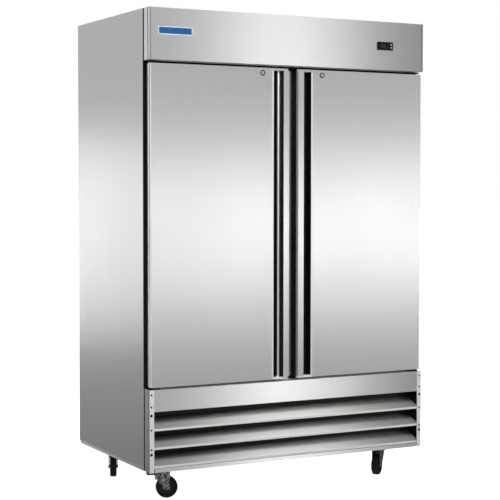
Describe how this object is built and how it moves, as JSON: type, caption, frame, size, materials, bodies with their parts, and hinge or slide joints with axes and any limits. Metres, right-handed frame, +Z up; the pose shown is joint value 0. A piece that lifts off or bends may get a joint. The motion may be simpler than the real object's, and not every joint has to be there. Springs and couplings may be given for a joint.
{
  "type": "reach-in refrigerator",
  "caption": "Upright stainless reach-in refrigerator with swinging solid doors, full-height recessed grips, header controller, louvred base and casters.",
  "frame": {"origin": "on the floor under the centre of the whole object's box", "axes": "+Z up, +X to the right seen from the front, +Y from the doors to the back"},
  "size_m": [1.374, 0.822, 2.095],
  "materials": {
    "stainless": "vertical brushed grain",
    "galvanised": "dull zinc coat",
    "foam": "sealed rigid foam",
    "liner": "white satin",
    "black_plastic": "satin",
    "gasket_rubber": "matt",
    "blue_plate": "gloss with a pale border",
    "display_lens": "gloss",
    "fin_aluminium": "mill finish",
    "shelf_wire": "epoxy coated",
    "black_enamel": "satin enamel",
    "lamp_lens": "opal",
    "zinc_plate": "bright zinc",
    "nylon": "plain",
    "wheel_rubber": "hard black rubber"
  },
  "bodies": {
    "cabinet": {"back_panel": "galvanised", "base_pan": "stainless", "cabinet_foam": "foam", "cabinet_liner": "liner", "caster_plates": "zinc_plate", "compressor": "black_enamel", "condenser_coil": "fin_aluminium", "condenser_shroud": "black_enamel", "condensing_base": "galvanised", "controller_display": "display_lens", "controller_housing": "black_plastic", "evaporator_coil": "fin_aluminium", "evaporator_cover": "liner", "face_frame": "stainless", "fan_motors": "black_enamel", "grille_brackets": "stainless", "grille_screws": "zinc_plate", "header_panel": "stainless", "hinge_brackets": "zinc_plate", "interior_light": "lamp_lens", "louvre_slats": "stainless", "mullion": "stainless", "name_plate": "blue_plate", "power_gland": "black_plastic", "shelf_supports": "stainless", "side_panels": "stainless", "sill_panel": "stainless", "top_panel": "galvanised", "wire_shelves": "shelf_wire"},
    "left_door": {"left_door_skin": "stainless", "left_door_foam": "foam", "left_door_liner": "liner", "left_door_gasket": "gasket_rubber", "left_door_bushes": "nylon", "left_handle_channel": "black_plastic", "left_handle_grip": "stainless"},
    "left_lock": {"left_door_lock": "zinc_plate"},
    "right_door": {"right_door_skin": "stainless", "right_door_foam": "foam", "right_door_liner": "liner", "right_door_gasket": "gasket_rubber", "right_door_bushes": "nylon", "right_handle_channel": "black_plastic", "right_handle_grip": "stainless"},
    "right_lock": {"right_door_lock": "zinc_plate"},
    "button_up_body": {"button_up": "black_plastic"},
    "button_down_body": {"button_down": "black_plastic"},
    "evaporator_fan_left_body": {"evaporator_fan_left": "black_plastic"},
    "evaporator_fan_right_body": {"evaporator_fan_right": "black_plastic"},
    "condenser_fan_body": {"condenser_fan": "black_plastic"},
    "front_left_swivel": {"caster_fork_front_left": "zinc_plate"},
    "front_left_wheel": {"caster_wheel_front_left": "wheel_rubber"},
    "front_left_pedal": {"brake_pedal_front_left": "black_enamel"},
    "front_right_swivel": {"caster_fork_front_right": "zinc_plate"},
    "front_right_wheel": {"caster_wheel_front_right": "wheel_rubber"},
    "front_right_pedal": {"brake_pedal_front_right": "black_enamel"},
    "rear_left_swivel": {"caster_fork_rear_left": "zinc_plate"},
    "rear_left_wheel": {"caster_wheel_rear_left": "wheel_rubber"},
    "rear_right_swivel": {"caster_fork_rear_right": "zinc_plate"},
    "rear_right_wheel": {"caster_wheel_rear_right": "wheel_rubber"}
  },
  "joints": [
    {"name": "left_door_hinge", "type": "hinge", "parent": "cabinet", "child": "left_door", "pos_m": [-0.663, -0.373, 1.185], "axis": [0, 0, 1], "range_deg": [-120, 0]},
    {"name": "right_door_hinge", "type": "hinge", "parent": "cabinet", "child": "right_door", "pos_m": [0.663, -0.373, 1.185], "axis": [0, 0, 1], "range_deg": [0, 120]},
    {"name": "left_lock_turn", "type": "hinge", "parent": "left_door", "child": "left_lock", "pos_m": [-0.149, -0.39, 1.842], "axis": [0, -1, 0], "range_deg": [0, 90]},
    {"name": "right_lock_turn", "type": "hinge", "parent": "right_door", "child": "right_lock", "pos_m": [0.149, -0.39, 1.842], "axis": [0, 1, 0], "range_deg": [0, 90]},
    {"name": "button_up_press", "type": "slide", "parent": "cabinet", "child": "button_up_body", "axis": [0, 1, 0], "range_m": [0, 0.0015], "stiffness_N_per_m": 250},
    {"name": "button_down_press", "type": "slide", "parent": "cabinet", "child": "button_down_body", "axis": [0, 1, 0], "range_m": [0, 0.0015], "stiffness_N_per_m": 250},
    {"name": "evaporator_fan_left_spin", "type": "hinge", "parent": "cabinet", "child": "evaporator_fan_left_body", "pos_m": [-0.15, 0.021, 1.9585], "axis": [0, 1, 0], "continuous": true},
    {"name": "evaporator_fan_right_spin", "type": "hinge", "parent": "cabinet", "child": "evaporator_fan_right_body", "pos_m": [0.15, 0.021, 1.9585], "axis": [0, 1, 0], "continuous": true},
    {"name": "condenser_fan_spin", "type": "hinge", "parent": "cabinet", "child": "condenser_fan_body", "pos_m": [0, -0.214, 0.3], "axis": [0, 1, 0], "continuous": true},
    {"name": "front_left_caster_swivel", "type": "hinge", "parent": "cabinet", "child": "front_left_swivel", "pos_m": [-0.563, -0.235, 0.14], "axis": [0, 0, 1], "continuous": true},
    {"name": "front_left_wheel_roll", "type": "hinge", "parent": "front_left_swivel", "child": "front_left_wheel", "pos_m": [-0.53732, -0.24334, 0.0475], "axis": [0.309, 0.9511, 0], "continuous": true},
    {"name": "front_left_brake_pedal", "type": "hinge", "parent": "front_left_swivel", "child": "front_left_pedal", "pos_m": [-0.57632, -0.23067, 0.106], "axis": [-0.309, -0.9511, 0], "range_deg": [0, 12]},
    {"name": "front_right_caster_swivel", "type": "hinge", "parent": "cabinet", "child": "front_right_swivel", "pos_m": [0.563, -0.235, 0.14], "axis": [0, 0, 1], "continuous": true},
    {"name": "front_right_wheel_roll", "type": "hinge", "parent": "front_right_swivel", "child": "front_right_wheel", "pos_m": [0.54232, -0.25235, 0.0475], "axis": [0.6428, -0.766, 0], "continuous": true},
    {"name": "front_right_brake_pedal", "type": "hinge", "parent": "front_right_swivel", "child": "front_right_pedal", "pos_m": [0.57373, -0.226, 0.106], "axis": [-0.6428, 0.766, 0], "range_deg": [0, 12]},
    {"name": "rear_left_caster_swivel", "type": "hinge", "parent": "cabinet", "child": "rear_left_swivel", "pos_m": [-0.563, 0.305, 0.14], "axis": [0, 0, 1], "continuous": true},
    {"name": "rear_left_wheel_roll", "type": "hinge", "parent": "rear_left_swivel", "child": "rear_left_wheel", "pos_m": [-0.57224, 0.27963, 0.0475], "axis": [0.9397, -0.342, 0], "continuous": true},
    {"name": "rear_right_caster_swivel", "type": "hinge", "parent": "cabinet", "child": "rear_right_swivel", "pos_m": [0.563, 0.305, 0.14], "axis": [0, 0, 1], "continuous": true},
    {"name": "rear_right_wheel_roll", "type": "hinge", "parent": "rear_right_swivel", "child": "rear_right_wheel", "pos_m": [0.53853, 0.29359, 0.0475], "axis": [0.4226, -0.9063, 0], "continuous": true}
  ]
}
